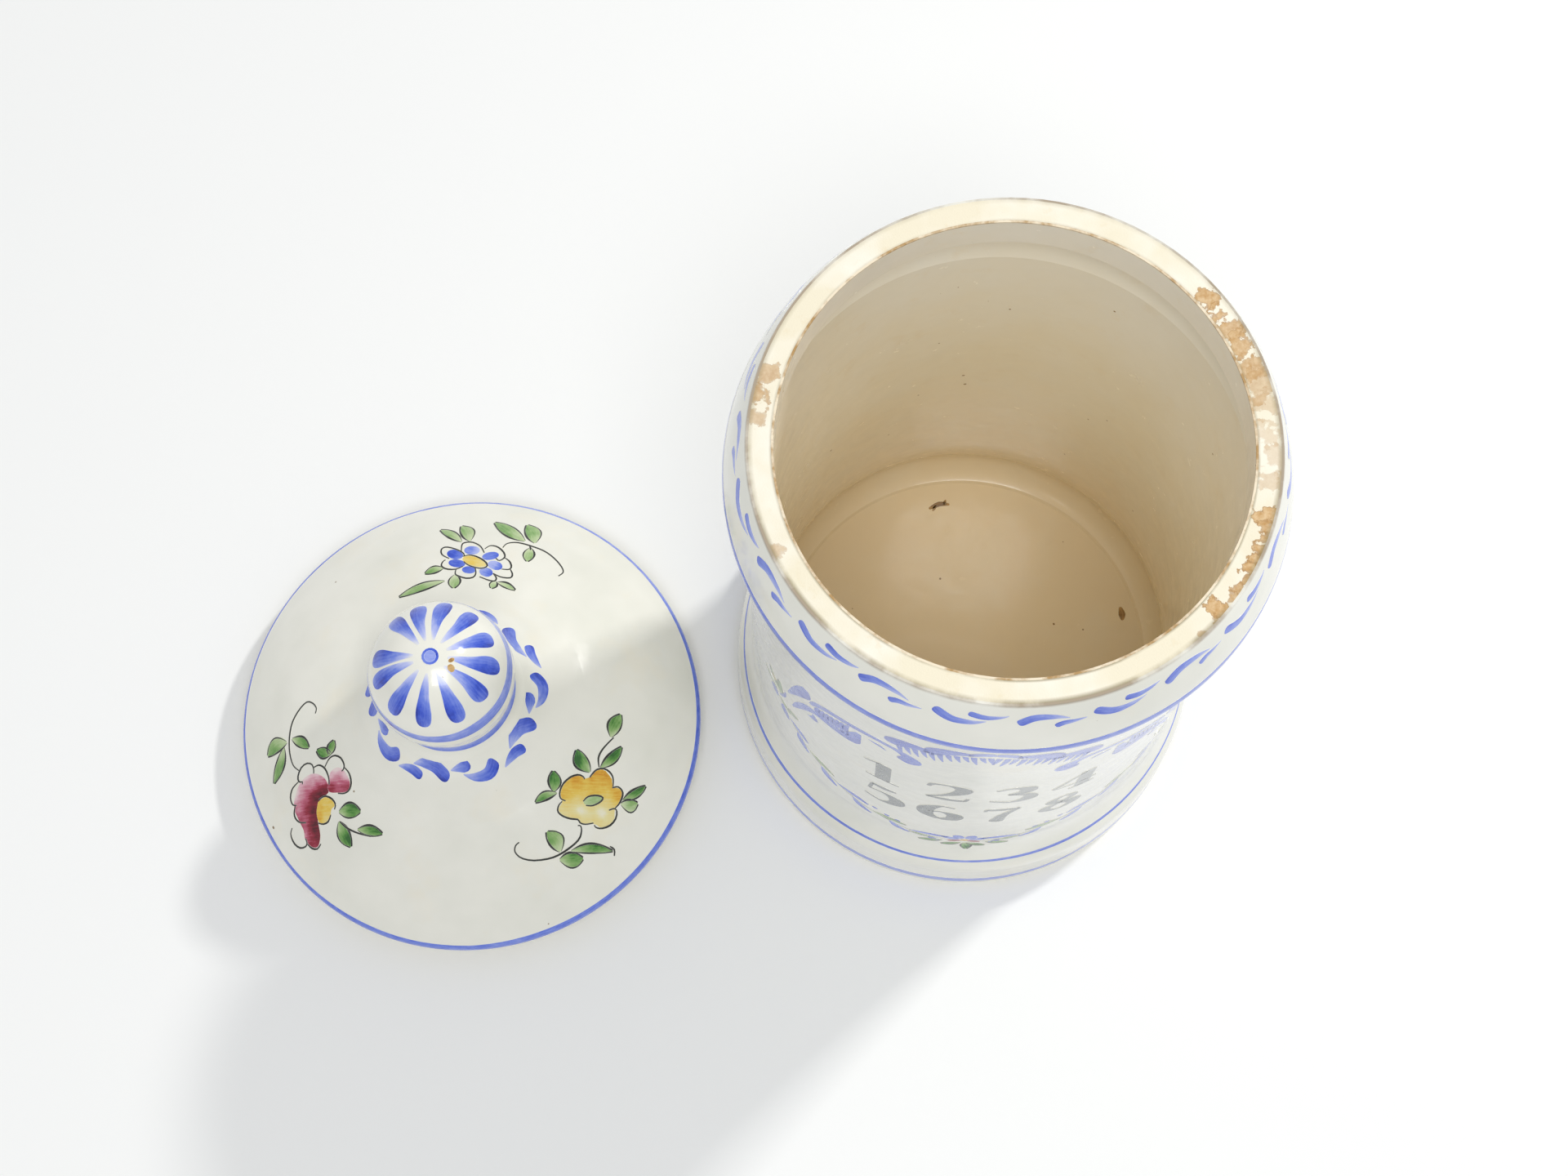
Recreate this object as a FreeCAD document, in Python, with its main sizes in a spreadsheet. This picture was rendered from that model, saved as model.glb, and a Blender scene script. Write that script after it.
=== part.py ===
"""An apothecary jar: a tin-glazed earthenware pot with a waist, and its loose lid, lying beside it.

Millimetres, +Z up. The origin is on the jar's axis, in the plane that the foot stands on. Every piece is
turned about a vertical axis, so each one is a half-section in a sketch and a full revolution of it. The clay
and its glaze are separate pieces that share the same curves, and the clay is bare where the glaze was wiped
off before firing: on the ground rim, on the foot ring, and on the lid's seat and flange.
"""

import FreeCAD, Part
import os

import Sketcher

SIZES = {
    # jar, outside
    "jar_height": 150.0,
    "mouth_radius": 39.8,
    "rim_width": 4.6,
    "shoulder_flare": 4.4,
    "shoulder_drop": 14.6,
    "shoulder_bulge": 0.5,
    "tuck_inset": 1.3,
    "tuck_drop": 5.2,
    "tuck_bulge": 0.5,
    "waist_inset": 3.1,
    "waist_level": 68.0,
    "cove_rise": 0.5,
    "cove_level": 34.0,
    "cove_bulge": 0.7,
    "foot_flare": 4.6,
    "foot_top": 18.6,
    "foot_round": 1.9,
    "foot_lean": 0.4,
    "foot_side_level": 13.4,
    "foot_bulge": 0.35,
    "bevel_height": 1.6,
    "bevel_inset": 1.2,
    # jar, inside and underneath
    "wall": 4.5,
    "mouth_land": 8.0,
    "inner_bulge": 0.8,
    "inner_tuck_drop": 7.0,
    "foot_wall": 5.4,
    "inner_foot_level": 15.0,
    "inner_cove": 3.9,
    "inner_cove_bulge": 1.0,
    "floor_level": 8.0,
    "floor_step": 0.5,
    "foot_ring_width": 5.0,
    "foot_ring_slope": 1.2,
    "recess_depth": 3.0,
    # glaze
    "glaze": 0.4,
    # lid
    "flange_clearance": 1.2,
    "flange_depth": 7.0,
    "flange_wall": 4.0,
    "lid_overhang": 6.5,
    "edge_height": 3.9,
    "edge_round": 0.9,
    "dome_inset": 23.9,
    "dome_rise": 16.4,
    "dome_bulge": 1.1,
    "lid_hollow": 30.5,
    "hollow_side": 16.0,
    "flare_rise": 11.2,
    "flare_bulge": 2.1,
    # knob
    "knob_joint_radius": 15.3,
    "neck_rise": 10.4,
    "neck_bulge": 1.7,
    "knob_grip_radius": 14.5,
    "knob_crown": 18.7,
    # where the lid lies
    "lid_aside_gap": 10.1,
    "lid_aside_y": 10.2,
}

doc = FreeCAD.newDocument("apothecary_jar")
sheet = doc.addObject("Spreadsheet::Sheet", "Sizes")
for row, (alias, number) in enumerate(SIZES.items(), start=1):
    sheet.set(f"A{row}", alias)
    sheet.set(f"B{row}", str(number))
    sheet.setAlias(f"B{row}", alias)
doc.recompute()


class Length:
    """A length as a number, and as the formula on the sheet's sizes that a sketch is bound to."""

    def __init__(self, number, formula):
        self.number = number
        self.formula = formula

    def __add__(self, other):
        return Length(self.number + other.number, f"({self.formula} + {other.formula})")

    def __sub__(self, other):
        return Length(self.number - other.number, f"({self.formula} - {other.formula})")

    def __truediv__(self, count):
        return Length(self.number / count, f"({self.formula} / {count})")


def size(alias):
    return Length(sheet.get(alias), f"Sizes.{alias}")


def middle(start, end, out=None, up=None):
    """The point half-way between two, moved outwards from the axis by one length and upwards by another."""
    radius = (start[0] + end[0]) / 2
    level = (start[1] + end[1]) / 2
    return (radius + out if out else radius, level + up if up else level)


ON_AXIS = Length(0.0, "0")
ORIGIN, START, END, CENTRE = -1, 1, 2, 3
ACROSS, UPRIGHT = -1, -2


def place_point(sketch, element, end, point):
    """Hold a point of the sketch at a radius and a level, each bound to the sheet."""
    for length, kind, axis in ((point[0], "DistanceX", UPRIGHT), (point[1], "DistanceY", ACROSS)):
        if length.number == 0:
            sketch.addConstraint(Sketcher.Constraint("PointOnObject", element, end, axis))
        else:
            held = sketch.addConstraint(
                Sketcher.Constraint(kind, ORIGIN, START, element, end, length.number)
            )
            sketch.setExpression(f"Constraints[{held}]", length.formula)


def vector(point):
    return FreeCAD.Vector(point[0].number, point[1].number, 0)


def draw(sketch, first, steps):
    """Draw a closed half-section: lines, arcs through a point, and domes, whose centre is on the axis."""
    corner = first
    joined = []
    for kind, *via, end in steps:
        a, b = vector(corner), vector(end)
        if kind == "line":
            element = sketch.addGeometry(Part.LineSegment(a, b), False)
        elif kind == "arc":
            element = sketch.addGeometry(Part.Arc(a, vector(via[0]), b), False)
            mark = sketch.addGeometry(Part.Point(vector(via[0])), True)
            place_point(sketch, mark, START, via[0])
            sketch.addConstraint(Sketcher.Constraint("PointOnObject", mark, START, element))
        else:
            rim, top = (a, b) if b.x == 0 else (b, a)
            centre = (top.y**2 - rim.y**2 - rim.x**2) / (2 * (top.y - rim.y))
            radius = top.y - centre
            between = FreeCAD.Vector(rim.x / 2, centre + (radius**2 - (rim.x / 2) ** 2) ** 0.5, 0)
            element = sketch.addGeometry(Part.Arc(a, between, b), False)
            sketch.addConstraint(Sketcher.Constraint("PointOnObject", element, CENTRE, UPRIGHT))
        turned_round = (sketch.getPoint(element, START) - a).Length > 1e-6
        joined.append((element, (END, START) if turned_round else (START, END)))
        corner = end
    for index, (element, ends) in enumerate(joined):
        before, before_ends = joined[index - 1]
        sketch.addConstraint(Sketcher.Constraint("Coincident", before, before_ends[1], element, ends[0]))
        place_point(sketch, element, ends[0], first if index == 0 else steps[index - 1][-1])


def turn(name, first, steps):
    """Make one piece: a body whose sketched half-section is turned a full round about its axis."""
    body = doc.addObject("PartDesign::Body", name)
    body.Label = name
    sketch = body.newObject("Sketcher::SketchObject", f"{name}_section")
    plane = [item for item in body.Origin.OriginFeatures if item.Role == "XZ_Plane"][0]
    sketch.AttachmentSupport = [(plane, "")]
    sketch.MapMode = "FlatFace"
    draw(sketch, first, steps)
    doc.recompute()
    revolution = body.newObject("PartDesign::Revolution", f"{name}_turned")
    revolution.Profile = sketch
    revolution.ReferenceAxis = (sketch, ["V_Axis"])
    revolution.Angle = 360.0
    body.Tip = revolution
    sketch.Visibility = False
    doc.recompute()
    return body


def lay_aside(body):
    """Put a piece of the lid where the lid lies: to the left, clear of the jar, a little in front of its axis."""
    apart = shoulder_radius + lid_radius + size("lid_aside_gap")
    body.setExpression("Placement.Base.x", f"-{apart.formula}")
    body.setExpression("Placement.Base.y", "-Sizes.lid_aside_y")


glaze = size("glaze")


def under(point, out=None, up=None):
    """The clay's point below a point of the glazed surface, moved back by the thickness of the glaze."""
    radius = point[0]
    level = point[1]
    if out == "in":
        radius = radius - glaze
    elif out == "out":
        radius = radius + glaze
    if up == "down":
        level = level - glaze
    elif up == "up":
        level = level + glaze
    return (radius, level)


# ---- The jar's glazed outside, from the rim down to the foot ----
jar_height = size("jar_height")
mouth_radius = size("mouth_radius")
rim_radius = mouth_radius + size("rim_width")
shoulder_radius = rim_radius + size("shoulder_flare")
shoulder_level = jar_height - size("shoulder_drop")
tuck_radius = shoulder_radius - size("tuck_inset")
waist_radius = shoulder_radius - size("waist_inset")
foot_radius = waist_radius + size("foot_flare")

rim_edge = (rim_radius, jar_height)
shoulder = (shoulder_radius, shoulder_level)
tuck = (tuck_radius, shoulder_level - size("tuck_drop"))
waist = (waist_radius, size("waist_level"))
cove_top = (waist_radius + size("cove_rise"), size("cove_level"))
foot_shoulder = (foot_radius - size("foot_round"), size("foot_top"))
foot_side = (foot_radius - size("foot_lean"), size("foot_side_level"))
glaze_end = (foot_radius, size("bevel_height"))

over_shoulder = middle(rim_edge, shoulder, out=size("shoulder_bulge"))
under_shoulder = middle(shoulder, tuck, out=size("tuck_bulge"))
in_cove = middle(cove_top, foot_shoulder, out=ON_AXIS - size("cove_bulge"))
over_foot = middle(foot_shoulder, foot_side, out=size("foot_bulge"))

# ---- The jar's glazed inside, from the mouth down to the middle of the floor ----
wall = size("wall")
mouth_edge = (mouth_radius, jar_height)
land_end = (mouth_radius, jar_height - size("mouth_land"))
inner_shoulder = (shoulder_radius - wall, shoulder_level)
inner_tuck = (tuck_radius - wall, shoulder_level - size("inner_tuck_drop"))
inner_waist = (waist_radius - wall, size("waist_level"))
inner_cove_top = (waist_radius + size("cove_rise") - wall, size("cove_level"))
inner_foot = (foot_radius - size("foot_wall"), size("inner_foot_level"))
step_top = (inner_foot[0] - size("inner_cove"), size("floor_level") + size("floor_step"))
floor_edge = (step_top[0] - size("floor_step"), size("floor_level"))
floor_middle = (ON_AXIS, size("floor_level"))

in_mouth = middle(land_end, inner_shoulder, out=size("inner_bulge"))
at_inner_shoulder = middle(inner_shoulder, inner_tuck, out=size("inner_bulge") / 4)
in_inner_cove = middle(inner_cove_top, inner_foot, out=ON_AXIS - size("cove_bulge"))
floor_sag = size("inner_cove_bulge")
in_floor_cove = middle(inner_foot, step_top, out=floor_sag, up=ON_AXIS - floor_sag)

# ---- Underneath: the foot ring that the jar stands on, and the glazed recess inside it ----
ring_outer = (foot_radius - glaze - size("bevel_inset"), ON_AXIS)
ring_inner = (ring_outer[0] - size("foot_ring_width"), ON_AXIS)
recess_edge = (ring_inner[0] - size("foot_ring_slope"), size("recess_depth"))
recess_middle = (ON_AXIS, size("recess_depth"))

turn(
    "jar_body",
    recess_middle,
    [
        ("line", recess_edge),
        ("line", ring_inner),
        ("line", ring_outer),
        ("line", under(glaze_end, "in")),
        ("line", under(foot_side, "in")),
        ("arc", under(over_foot, "in"), under(foot_shoulder, "in")),
        ("arc", under(in_cove, "in"), under(cove_top, "in")),
        ("arc", under(waist, "in"), under(tuck, "in")),
        ("arc", under(under_shoulder, "in"), under(shoulder, "in")),
        ("arc", under(over_shoulder, "in"), under(rim_edge, "in")),
        ("line", under(mouth_edge, "out")),
        ("line", under(land_end, "out")),
        ("arc", under(in_mouth, "out"), under(inner_shoulder, "out")),
        ("arc", under(at_inner_shoulder, "out"), under(inner_tuck, "out")),
        ("arc", under(inner_waist, "out"), under(inner_cove_top, "out")),
        ("arc", under(in_inner_cove, "out"), under(inner_foot, "out")),
        ("arc", under(in_floor_cove, "out", "down"), under(step_top, None, "down")),
        ("line", under(floor_edge, None, "down")),
        ("line", under(floor_middle, None, "down")),
        ("line", recess_middle),
    ],
)

turn(
    "jar_outer_glaze",
    rim_edge,
    [
        ("arc", over_shoulder, shoulder),
        ("arc", under_shoulder, tuck),
        ("arc", waist, cove_top),
        ("arc", in_cove, foot_shoulder),
        ("arc", over_foot, foot_side),
        ("line", glaze_end),
        ("line", under(glaze_end, "in")),
        ("line", under(foot_side, "in")),
        ("arc", under(over_foot, "in"), under(foot_shoulder, "in")),
        ("arc", under(in_cove, "in"), under(cove_top, "in")),
        ("arc", under(waist, "in"), under(tuck, "in")),
        ("arc", under(under_shoulder, "in"), under(shoulder, "in")),
        ("arc", under(over_shoulder, "in"), under(rim_edge, "in")),
        ("line", rim_edge),
    ],
)

turn(
    "jar_inner_glaze",
    mouth_edge,
    [
        ("line", land_end),
        ("arc", in_mouth, inner_shoulder),
        ("arc", at_inner_shoulder, inner_tuck),
        ("arc", inner_waist, inner_cove_top),
        ("arc", in_inner_cove, inner_foot),
        ("arc", in_floor_cove, step_top),
        ("line", floor_edge),
        ("line", floor_middle),
        ("line", under(floor_middle, None, "down")),
        ("line", under(floor_edge, None, "down")),
        ("line", under(step_top, None, "down")),
        ("arc", under(in_floor_cove, "out", "down"), under(inner_foot, "out")),
        ("arc", under(in_inner_cove, "out"), under(inner_cove_top, "out")),
        ("arc", under(inner_waist, "out"), under(inner_tuck, "out")),
        ("arc", under(at_inner_shoulder, "out"), under(inner_shoulder, "out")),
        ("arc", under(in_mouth, "out"), under(land_end, "out")),
        ("line", under(mouth_edge, "out")),
        ("line", mouth_edge),
    ],
)

turn(
    "jar_base_glaze",
    recess_middle,
    [
        ("line", under(recess_middle, None, "down")),
        ("line", under(recess_edge, None, "down")),
        ("line", recess_edge),
        ("line", recess_middle),
    ],
)

# ---- The lid, in its own place: it stands on its flange, with the seat one flange depth up ----
seat_level = size("flange_depth")
flange_radius = mouth_radius - size("flange_clearance")
lid_radius = rim_radius + size("lid_overhang")
edge_level = seat_level + size("edge_height")
joint_level = seat_level + size("edge_height") + size("dome_rise") + size("flare_rise")

lid_edge_low = (lid_radius - size("edge_round"), seat_level)
lid_edge_top = (lid_radius - size("edge_round"), edge_level)
round_edge = middle(lid_edge_low, lid_edge_top, out=size("edge_round"))
flare_foot = (lid_radius - size("dome_inset"), edge_level + size("dome_rise"))
over_dome = middle(lid_edge_top, flare_foot, out=size("dome_bulge"), up=size("dome_bulge"))
knob_joint = (size("knob_joint_radius"), joint_level)
flare_sag = ON_AXIS - size("flare_bulge") / 2
in_flare = middle(flare_foot, knob_joint, out=flare_sag, up=flare_sag)
joint_middle = (ON_AXIS, joint_level)

# ---- The knob, luted on to the middle of the lid ----
knob_neck = (size("knob_grip_radius"), joint_level + size("neck_rise"))
at_neck = middle(knob_joint, knob_neck, out=ON_AXIS - size("neck_bulge"))
knob_top = (ON_AXIS, knob_neck[1] + size("knob_crown"))

# ---- The lid's underside ----
flange_inner = flange_radius - size("flange_wall")
hollow_side = (flange_inner, size("hollow_side"))
hollow_top = (ON_AXIS, size("lid_hollow"))
glaze_stop = (flange_inner, seat_level)

lid_cap = turn(
    "lid_cap",
    joint_middle,
    [
        ("line", under(knob_joint, "in")),
        ("arc", under(in_flare, None, "down"), under(flare_foot, None, "down")),
        ("arc", under(over_dome, None, "down"), under(lid_edge_top, None, "down")),
        ("arc", under(round_edge, "in"), lid_edge_low),
        ("line", (flange_radius, seat_level)),
        ("line", (flange_radius, ON_AXIS)),
        ("line", (flange_inner, ON_AXIS)),
        ("line", glaze_stop),
        ("line", under(glaze_stop, "out")),
        ("line", under(hollow_side, "out")),
        ("dome", under(hollow_top, None, "up")),
        ("line", joint_middle),
    ],
)

lid_knob = turn(
    "lid_knob",
    joint_middle,
    [
        ("line", under(knob_joint, "in")),
        ("arc", under(at_neck, "in"), under(knob_neck, "in")),
        ("dome", under(knob_top, None, "down")),
        ("line", joint_middle),
    ],
)

lid_top_glaze = turn(
    "lid_top_glaze",
    knob_top,
    [
        ("dome", knob_neck),
        ("arc", at_neck, knob_joint),
        ("arc", in_flare, flare_foot),
        ("arc", over_dome, lid_edge_top),
        ("arc", round_edge, lid_edge_low),
        ("arc", under(round_edge, "in"), under(lid_edge_top, None, "down")),
        ("arc", under(over_dome, None, "down"), under(flare_foot, None, "down")),
        ("arc", under(in_flare, None, "down"), under(knob_joint, "in")),
        ("arc", under(at_neck, "in"), under(knob_neck, "in")),
        ("dome", under(knob_top, None, "down")),
        ("line", knob_top),
    ],
)

lid_inner_glaze = turn(
    "lid_inner_glaze",
    glaze_stop,
    [
        ("line", hollow_side),
        ("dome", hollow_top),
        ("line", under(hollow_top, None, "up")),
        ("dome", under(hollow_side, "out")),
        ("line", under(glaze_stop, "out")),
        ("line", glaze_stop),
    ],
)

for body in (lid_cap, lid_knob, lid_top_glaze, lid_inner_glaze):
    lay_aside(body)
doc.recompute()

# ---- Check everything, and only then write the pieces ----
for item in doc.Objects:
    if "Invalid" in item.State or "Error" in item.State:
        raise RuntimeError(f"{item.Label} failed to rebuild")
pieces = [item for item in doc.Objects if item.TypeId == "PartDesign::Body"]
for body in pieces:
    if body.Shape.isNull() or not body.Shape.isValid() or len(body.Shape.Solids) != 1:
        raise RuntimeError(f"{body.Label} is not one sound solid")

os.makedirs("parts", exist_ok=True)
for body in pieces:
    body.Shape.exportStep(f"parts/{body.Label}.step")
    box = body.Shape.optimalBoundingBox()
    print(
        f"{body.Label}: {body.Shape.Volume / 1000:.2f} cm3, "
        f"radius {box.XLength / 2:.2f}, from {box.ZMin:.2f} to {box.ZMax:.2f}"
    )
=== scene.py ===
"""The apothecary jar's looks: glazed and hand-painted earthenware, its lid lying beside it on a pale table."""

import math
import random

import bmesh
import bpy
from mathutils import Matrix, Vector
from mathutils.bvhtree import BVHTree


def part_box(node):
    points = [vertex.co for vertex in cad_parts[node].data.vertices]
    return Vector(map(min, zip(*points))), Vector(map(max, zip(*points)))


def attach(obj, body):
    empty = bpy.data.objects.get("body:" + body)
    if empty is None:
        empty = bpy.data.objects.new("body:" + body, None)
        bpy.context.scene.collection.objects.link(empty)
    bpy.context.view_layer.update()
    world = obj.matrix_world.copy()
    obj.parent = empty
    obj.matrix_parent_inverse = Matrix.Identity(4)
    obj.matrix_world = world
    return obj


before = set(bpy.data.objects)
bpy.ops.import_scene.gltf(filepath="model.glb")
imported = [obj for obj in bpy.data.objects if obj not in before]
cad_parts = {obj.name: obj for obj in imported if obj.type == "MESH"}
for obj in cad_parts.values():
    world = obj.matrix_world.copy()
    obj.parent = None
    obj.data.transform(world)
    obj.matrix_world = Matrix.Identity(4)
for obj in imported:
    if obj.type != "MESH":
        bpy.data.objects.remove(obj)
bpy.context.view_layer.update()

# ---- The table and the light ----
# The jar and its lid stand on a smooth matt white table top. A lamp like a window, behind them on the right, throws
# the long shadows. A softbox above the front lights the inside of the jar, and a pale room fills the rest.
MM = 0.001
TABLE_REACH = 3.0
PAPER_GRAIN = 1.1 * MM
ROOM_GLOW = 0.56


def linear(code):
    """A colour written as sRGB hex, as the linear light that a shader takes."""
    parts = [int(code[i : i + 2], 16) / 255 for i in (1, 3, 5)]
    return [part / 12.92 if part <= 0.04045 else ((part + 0.055) / 1.055) ** 2.4 for part in parts] + [1.0]


def add(tree, kind, settings=None):
    """Add one node. A setting is an input, by name or number, or an attribute. An output given as one is linked."""
    node = tree.nodes.new(kind)
    for name, value in (settings or {}).items():
        if isinstance(value, bpy.types.NodeSocket):
            tree.links.new(value, node.inputs[name])
        elif isinstance(name, int) or name in node.inputs:
            node.inputs[name].default_value = value
        else:
            setattr(node, name, value)
    return node


def new_material(name):
    """An empty node material, with its node tree and the place on the object that its patterns read."""
    material = bpy.data.materials.new(name)
    material.use_nodes = True
    tree = material.node_tree
    tree.nodes.clear()
    return material, tree, add(tree, "ShaderNodeTexCoord").outputs["Object"]


def make_object(name, bm, material):
    """A finished object at the origin from a bmesh."""
    mesh = bpy.data.meshes.new(name)
    bm.to_mesh(mesh)
    bm.free()
    mesh.materials.append(material)
    piece = bpy.data.objects.new(name, mesh)
    bpy.context.scene.collection.objects.link(piece)
    return piece


matt_white_board, tree, place = new_material("matt_white_board")
grain = add(tree, "ShaderNodeTexNoise", {"Scale": 1 / PAPER_GRAIN, "Detail": 2.0, "Vector": place})
tooth = add(tree, "ShaderNodeBump", {"Strength": 0.1, "Distance": 0.02 * MM, "Height": grain.outputs[0]}).outputs[0]
board = add(
    tree,
    "ShaderNodeBsdfPrincipled",
    {"Base Color": linear("#f7f8f7"), "Roughness": 0.7, "Specular IOR Level": 0.25, "Normal": tooth},
)
add(tree, "ShaderNodeOutputMaterial", {"Surface": board.outputs[0]})
bm = bmesh.new()
bmesh.ops.create_grid(bm, x_segments=1, y_segments=1, size=TABLE_REACH)
make_object("table_top", bm, matt_white_board)

scene = bpy.context.scene
scene.view_settings.view_transform = "Standard"

room = bpy.data.worlds.new("pale_room")
room.use_nodes = True
tree = room.node_tree
tree.nodes.clear()
rays = add(tree, "ShaderNodeLightPath")
glow = add(tree, "ShaderNodeBackground", {"Color": linear("#f4f5f7"), "Strength": ROOM_GLOW})
backdrop = add(tree, "ShaderNodeBackground", {"Color": linear("#ffffff"), "Strength": 1.0})
seen = add(
    tree, "ShaderNodeMixShader", {0: rays.outputs["Is Camera Ray"], 1: glow.outputs[0], 2: backdrop.outputs[0]}
)
add(tree, "ShaderNodeOutputWorld", {"Surface": seen.outputs[0]})
scene.world = room


def hang_lamp(name, place, aim, width, depth, watts, colour):
    """A flat lamp at a place, turned to shine at another."""
    lamp = bpy.data.lights.new(name, "AREA")
    lamp.shape = "RECTANGLE"
    lamp.size, lamp.size_y = width, depth
    lamp.energy = watts
    lamp.color = colour
    hung = bpy.data.objects.new(name, lamp)
    hung.location = place
    hung.rotation_euler = (aim - place).to_track_quat("-Z", "Y").to_euler()
    scene.collection.objects.link(hung)


WINDOW_AZIMUTH, WINDOW_HEIGHT, WINDOW_DISTANCE = math.radians(36), math.radians(46), 1.4
WINDOW_AIM = Vector((-0.04, 0.0, 0.06))
WINDOW_SIZE, WINDOW_WATTS = (0.11, 0.09), 7.4
toward_window = Vector(
    (
        math.cos(WINDOW_HEIGHT) * math.cos(WINDOW_AZIMUTH),
        math.cos(WINDOW_HEIGHT) * math.sin(WINDOW_AZIMUTH),
        math.sin(WINDOW_HEIGHT),
    )
)
window_place = WINDOW_AIM + toward_window * WINDOW_DISTANCE
hang_lamp("window_light", window_place, WINDOW_AIM, *WINDOW_SIZE, WINDOW_WATTS, (1.0, 0.985, 0.955))

SOFTBOX_PLACE, SOFTBOX_AIM = Vector((0.0, -0.4, 1.15)), Vector((0.0, 0.0, 0.1))
SOFTBOX_SIZE, SOFTBOX_WATTS = (0.5, 0.5), 4.4
hang_lamp("softbox_above_the_front", SOFTBOX_PLACE, SOFTBOX_AIM, *SOFTBOX_SIZE, SOFTBOX_WATTS, (1.0, 1.0, 1.0))

PITCH, ROLL = math.radians(74.146), math.radians(-2.627)
CAMERA_PLACE = Vector((-0.03907, -0.12508, 0.50975))
camera = bpy.data.cameras.new("camera")
camera.lens = 52.9
camera.sensor_width = 36.0
camera.clip_start = 0.01
camera_object = bpy.data.objects.new("camera", camera)
ahead = Vector((0.0, math.cos(PITCH), -math.sin(PITCH)))
level_right = Vector((1.0, 0.0, 0.0))
level_down = Vector((0.0, -math.sin(PITCH), -math.cos(PITCH)))
frame_right = math.cos(ROLL) * level_right - math.sin(ROLL) * level_down
frame_down = math.sin(ROLL) * level_right + math.cos(ROLL) * level_down
turned = Matrix((frame_right, -frame_down, -ahead)).transposed()
camera_object.matrix_world = Matrix.Translation(CAMERA_PLACE) @ turned.to_4x4()
scene.collection.objects.link(camera_object)
scene.camera = camera_object

# ---- The clay: jar, lid and knob ----
# Thrown from buff earthenware and fired before glazing. It shows dry and matt where the glaze was wiped off: on the
# ground rim, the foot ring, and the lid's seat and flange. The rim has soaked up stains, and dirt lines its edges,
# with painted shade making that line darker towards the front.
RIM_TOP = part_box("jar_body")[1].z
RIM_OUTSIDE, RIM_INSIDE = 44.1 * MM, 40.2 * MM
STAIN_SPREAD, STAIN_MOTTLE, STAIN_GRAIN, CLAY_GRIT = 15 * MM, 2.8 * MM, 0.9 * MM, 0.3 * MM
STAIN_FRAY = 0.9  # how far the borders of a stain wander, as a share of its reach
DIRT_PATCHES, DIRT_WIDTH, DIRT_WIDTH_INSIDE = 11 * MM, 0.9 * MM, 0.4 * MM
RIM_STAINS = (  # degrees round the rim, millimetres from the axis, reach in millimetres, darkness
    (35, 41.7, 2.2, 0.8),
    (30.5, 41.9, 2.1, 0.75),
    (26, 41.8, 2.2, 0.65),
    (21, 42.0, 2.3, 0.7),
    (16, 42.0, 2.1, 0.6),
    (11, 42.2, 2.4, 0.4),
    (6, 42.8, 2.6, 0.25),
    (0, 42.0, 2.6, 0.2),
    (-6, 42.8, 2.6, 0.2),
    (-12, 42.2, 2.4, 0.25),
    (-19.5, 42.9, 1.8, 0.9),
    (-22.5, 43.6, 1.5, 0.7),
    (-25, 43.7, 1.6, 0.8),
    (-27.5, 43.6, 1.5, 0.85),
    (-30, 43.7, 1.6, 0.9),
    (-32.5, 43.6, 1.5, 0.9),
    (-35, 43.7, 1.6, 0.85),
    (-37.5, 43.6, 1.4, 0.75),
    (-40, 43.7, 1.3, 0.7),
    (-44, 42.8, 1.9, 0.9),
    (-47, 43.9, 1.3, 0.6),
    (-50, 43.9, 1.3, 0.5),
    (160, 42.6, 2.1, 0.5),
    (166, 43.0, 2.0, 0.55),
    (171, 43.4, 1.6, 0.4),
    (203, 43.6, 1.4, 0.35),
)


def patches(tree, place, size, low, high, to_low=0.0, to_high=1.0, detail=3.0):
    """Cloudy patches about a size across. What lies between two levels of the cloud is stretched to a new range."""
    cloud = add(tree, "ShaderNodeTexNoise", {"Scale": 1 / size, "Detail": detail, "Roughness": 0.6, "Vector": place})
    return add(
        tree,
        "ShaderNodeMapRange",
        {"Value": cloud.outputs["Fac"], "From Min": low, "From Max": high, "To Min": to_low, "To Max": to_high},
    ).outputs[0]


def stained(tree, ground, *stains):
    """A ground colour under stains, each given as its amount and its colour: sRGB hex or another node's output."""
    for amount, colour in stains:
        under, over = (linear(shade) if isinstance(shade, str) else shade for shade in (ground, colour))
        ground = add(tree, "ShaderNodeMix", {"data_type": "RGBA", 0: amount, 6: under, 7: over}).outputs[2]
    return ground


def coat(nodes, material):
    """Give the formed pieces, or the coats of glaze on them, their finish."""
    for node in nodes:
        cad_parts[node].data.materials.clear()
        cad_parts[node].data.materials.append(material)


buff_earthenware, tree, place = new_material("buff_earthenware")
apart = add(tree, "ShaderNodeSeparateXYZ", {"Vector": place}).outputs
flat_place = add(tree, "ShaderNodeVectorMath", {"operation": "MULTIPLY", 0: place, 1: (1, 1, 0)}).outputs[0]
radius = add(tree, "ShaderNodeVectorMath", {"operation": "LENGTH", 0: flat_place}).outputs["Value"]
mottle = add(
    tree, "ShaderNodeTexNoise", {"Scale": 1 / STAIN_MOTTLE, "Detail": 6.0, "Roughness": 0.6, "Vector": place}
).outputs["Fac"]
tan_flecks = add(
    tree, "ShaderNodeMapRange", {"Value": mottle, "From Min": 0.6, "From Max": 0.8, "To Max": 0.4}
).outputs[0]
clay = stained(tree, "#efe7cf", (patches(tree, place, STAIN_SPREAD, 0.4, 0.65), "#f7f2e3"), (tan_flecks, "#e4cfa6"))
soaked = stained(tree, "#c69c64", (patches(tree, place, STAIN_GRAIN, 0.35, 0.65, detail=4.0), "#e3c69a"))
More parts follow.
